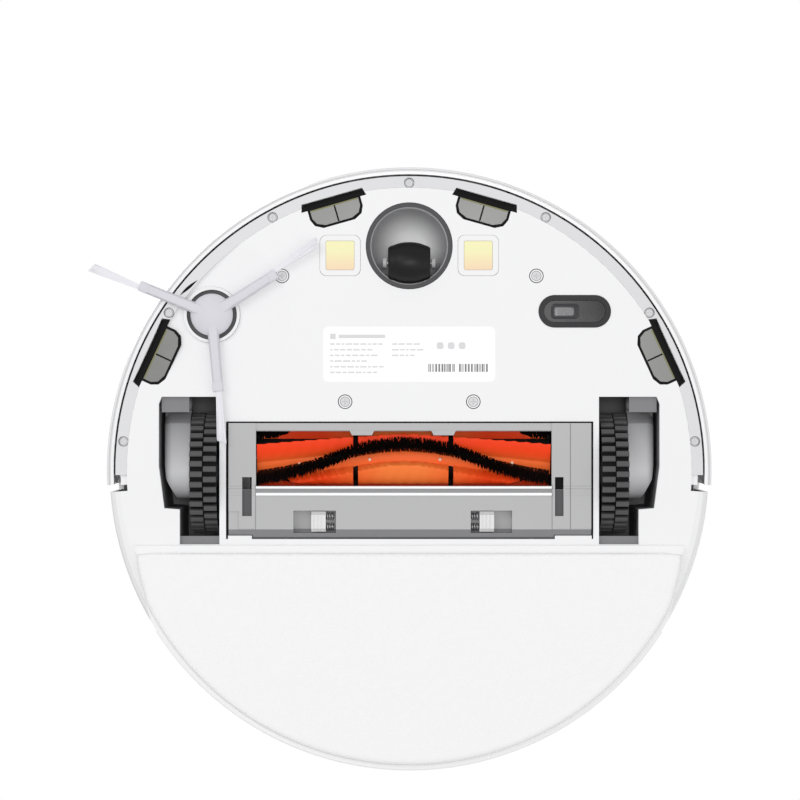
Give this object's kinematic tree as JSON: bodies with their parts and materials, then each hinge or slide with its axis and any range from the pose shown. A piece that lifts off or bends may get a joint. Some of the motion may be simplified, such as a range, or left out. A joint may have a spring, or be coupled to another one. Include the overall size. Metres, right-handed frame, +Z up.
{
  "type": "robot vacuum",
  "caption": "Round floor-cleaning robot with sprung front bumper, drive wheels, caster, side brush, roller brush, slide-out mop tank and lidded dust bin.",
  "frame": {"origin": "centre of the round body, on the floor it stands on", "axes": "+Z up, -Y is the driving direction, where the bumper is, and +X is the side of the motion sensor; left (-X) and right (+X) are named as seen from in front of the cleaner"},
  "size_m": [0.363, 0.3521, 0.0815],
  "materials": {
    "battery_wrap": "shrink wrapped cells",
    "bay_dark": "satin",
    "bearing_grey": "satin",
    "bezel_grey": "satin",
    "bin_cover": "satin",
    "bin_smoke": "gloss",
    "board_green": "solder mask",
    "brush_fibre": "satin",
    "brush_white": "satin",
    "button_white": "satin",
    "camera_glass": "gloss",
    "caster_cup": "satin",
    "caster_dark": "satin",
    "caster_rubber": "satin",
    "contact_gold": "satin",
    "drive_grey": "satin",
    "fan_black": "satin",
    "filter_paper": "pleated paper",
    "flow_glass": "gloss",
    "grey_strip": "satin",
    "guard_grey": "satin",
    "housing_grey": "satin",
    "hub_grey": "satin",
    "label_white": "satin print",
    "latch_grey": "satin",
    "mop_cloth": "microfibre",
    "pin_steel": "polished",
    "roller_bristle": "satin",
    "roller_orange": "satin",
    "screw_steel": "satin",
    "sensor_black": "satin",
    "sensor_lens": "gloss",
    "smoke_window": "gloss",
    "spring_steel": "satin",
    "tank_white": "gloss",
    "tyre_rubber": "matte",
    "well_dark": "satin",
    "white_base": "fine satin grain",
    "white_shell": "gloss"
  },
  "bodies": {
    "chassis": {"base_plate": "white_base", "base_screws": "screw_steel", "battery_pack": "battery_wrap", "bin_cover": "bin_cover", "brush_bay": "bay_dark", "bumper_retainer": "grey_strip", "camera_bezel": "bezel_grey", "camera_lens": "camera_glass", "caster_ring": "caster_dark", "charge_contacts": "contact_gold", "cliff_windows": "sensor_lens", "contact_frames": "white_base", "dust_bin": "bin_smoke", "dust_filter": "filter_paper", "fan_housing": "drive_grey", "flow_sensor_bezel": "bezel_grey", "flow_sensor_window": "flow_glass", "front_left_cliff_housing": "sensor_black", "front_right_cliff_housing": "sensor_black", "left_wheel_frame": "well_dark", "left_wheel_spring": "spring_steel", "lid_hinge_pins": "pin_steel", "main_board": "board_green", "rating_label": "label_white", "retainer_screws": "screw_steel", "right_wheel_frame": "well_dark", "right_wheel_spring": "spring_steel", "roller_bearing": "bearing_grey", "roller_drive_unit": "drive_grey", "side_brush_motor": "drive_grey", "side_brush_ring": "white_base", "side_left_cliff_housing": "sensor_black", "side_right_cliff_housing": "sensor_black", "top_shell": "white_shell"},
    "bumper": {"bumper": "white_shell", "bumper_window": "smoke_window"},
    "caster_fork": {"caster_swivel": "caster_cup", "caster_axle": "pin_steel"},
    "caster_roll": {"caster_wheel": "caster_rubber"},
    "left_arm": {"left_wheel_arm": "housing_grey"},
    "left_drive_wheel": {"left_wheel_hub": "hub_grey", "left_tyre": "tyre_rubber"},
    "right_arm": {"right_wheel_arm": "housing_grey"},
    "right_drive_wheel": {"right_wheel_hub": "hub_grey", "right_tyre": "tyre_rubber"},
    "side_brush": {"side_brush_hub": "brush_white", "side_brush_bristles": "brush_fibre"},
    "roller": {"roller_core": "roller_orange", "roller_bristles": "roller_bristle"},
    "guard": {"brush_guard": "guard_grey"},
    "left_latch": {"left_guard_latch": "latch_grey"},
    "right_latch": {"right_guard_latch": "latch_grey"},
    "tank": {"water_tank": "tank_white", "mop_plate": "white_base", "mop_pad": "mop_cloth"},
    "tank_button": {"tank_release_button": "button_white"},
    "lid": {"top_lid": "white_shell"},
    "power_key": {"power_button": "button_white"},
    "home_key": {"home_button": "button_white"},
    "fan": {"fan_impeller": "fan_black"}
  },
  "joints": [
    {"name": "bumper_press", "type": "slide", "parent": "chassis", "child": "bumper", "axis": [0, 1, 0], "range_m": [0, 0.003], "stiffness_N_per_m": 300, "springref_m": -0.004},
    {"name": "caster_swivel_turn", "type": "hinge", "parent": "chassis", "child": "caster_fork", "pos_m": [0, -0.1304, 0.02], "axis": [0, 0, 1], "continuous": true},
    {"name": "caster_wheel_roll", "type": "hinge", "parent": "caster_fork", "child": "caster_roll", "pos_m": [0, -0.1206, 0.0122], "axis": [1, 0, 0], "continuous": true},
    {"name": "left_suspension", "type": "hinge", "parent": "chassis", "child": "left_arm", "pos_m": [-0.136, -0.038, 0.032], "axis": [-1, 0, 0], "range_deg": [0, 30], "stiffness_Nm_per_rad": 0.25, "springref_deg": 51.57, "deforming": ["left_wheel_spring"]},
    {"name": "left_wheel_spin", "type": "hinge", "parent": "left_arm", "child": "left_drive_wheel", "pos_m": [-0.1197, 0.0023, 0.0355], "axis": [1, 0, 0], "continuous": true},
    {"name": "right_suspension", "type": "hinge", "parent": "chassis", "child": "right_arm", "pos_m": [0.136, -0.038, 0.032], "axis": [-1, 0, 0], "range_deg": [0, 30], "stiffness_Nm_per_rad": 0.25, "springref_deg": 51.57, "deforming": ["right_wheel_spring"]},
    {"name": "right_wheel_spin", "type": "hinge", "parent": "right_arm", "child": "right_drive_wheel", "pos_m": [0.1197, 0.0023, 0.0355], "axis": [1, 0, 0], "continuous": true},
    {"name": "side_brush_spin", "type": "hinge", "parent": "chassis", "child": "side_brush", "pos_m": [-0.1149, -0.0903, 0.01], "axis": [0, 0, 1], "continuous": true},
    {"name": "roller_spin", "type": "hinge", "parent": "chassis", "child": "roller", "pos_m": [0, -0.00665, 0.025], "axis": [1, 0, 0], "continuous": true},
    {"name": "guard_release", "type": "slide", "parent": "chassis", "child": "guard", "axis": [0, 0, -1], "range_m": [0, 0.03]},
    {"name": "left_latch_slide", "type": "slide", "parent": "guard", "child": "left_latch", "axis": [1, 0, 0], "range_m": [0, 0.003], "stiffness_N_per_m": 200, "springref_m": -0.003},
    {"name": "right_latch_slide", "type": "slide", "parent": "guard", "child": "right_latch", "axis": [-1, 0, 0], "range_m": [0, 0.003], "stiffness_N_per_m": 200, "springref_m": -0.003},
    {"name": "tank_slide", "type": "slide", "parent": "chassis", "child": "tank", "axis": [0, 1, 0], "range_m": [0, 0.14]},
    {"name": "tank_button_press", "type": "slide", "parent": "tank", "child": "tank_button", "axis": [0, -1, 0], "range_m": [0, 0.002], "stiffness_N_per_m": 400, "springref_m": -0.002},
    {"name": "lid_hinge", "type": "hinge", "parent": "chassis", "child": "lid", "pos_m": [0, 0.033, 0.0791], "axis": [1, 0, 0], "range_deg": [0, 80]},
    {"name": "power_press", "type": "slide", "parent": "chassis", "child": "power_key", "axis": [0, 0, -1], "range_m": [0, 0.0006], "stiffness_N_per_m": 800, "springref_m": -0.0006},
    {"name": "home_press", "type": "slide", "parent": "chassis", "child": "home_key", "axis": [0, 0, -1], "range_m": [0, 0.0006], "stiffness_N_per_m": 800, "springref_m": -0.0006},
    {"name": "fan_spin", "type": "hinge", "parent": "chassis", "child": "fan", "pos_m": [0.1085, 0.084, 0.05], "axis": [0, 0, 1], "continuous": true}
  ]
}
